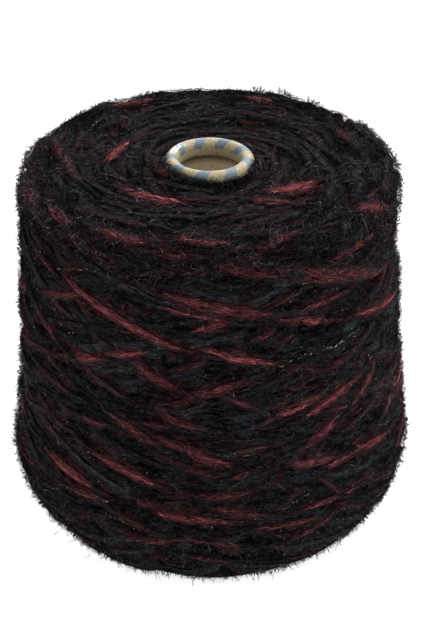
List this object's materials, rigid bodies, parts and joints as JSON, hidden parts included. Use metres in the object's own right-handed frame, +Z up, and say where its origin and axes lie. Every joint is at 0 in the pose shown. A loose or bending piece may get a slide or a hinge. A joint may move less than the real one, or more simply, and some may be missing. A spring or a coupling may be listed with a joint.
{
  "type": "wound cone of acrylic yarn",
  "caption": "Cross-wound package of brushed, slubbed yarn on a tapered paper cone with a rolled nose; stands on its flat foot, with an open bore through its axis.",
  "frame": {"origin": "centre of the package's footprint, on the cone's axis, at the surface that it stands on", "axes": "+Z up along the bore's axis, from the wide base to the narrow nose; -Y is the side that faces the picture's camera; +X is to the camera's right"},
  "size_m": [0.1764, 0.1768, 0.17],
  "materials": {
    "yarn": "black brushed acrylic yarn with a fibre haze, dull red and brown slubs, dark green-grey lengths and a fine crinkled gold and silver filament",
    "paperboard": "kraft paperboard, varnished and printed with slanted blue patches on the rolled nose, plain brown inside"
  },
  "bodies": {
    "root": {"wound_yarn": "yarn", "paper_cone": "paperboard"}
  },
  "joints": []
}
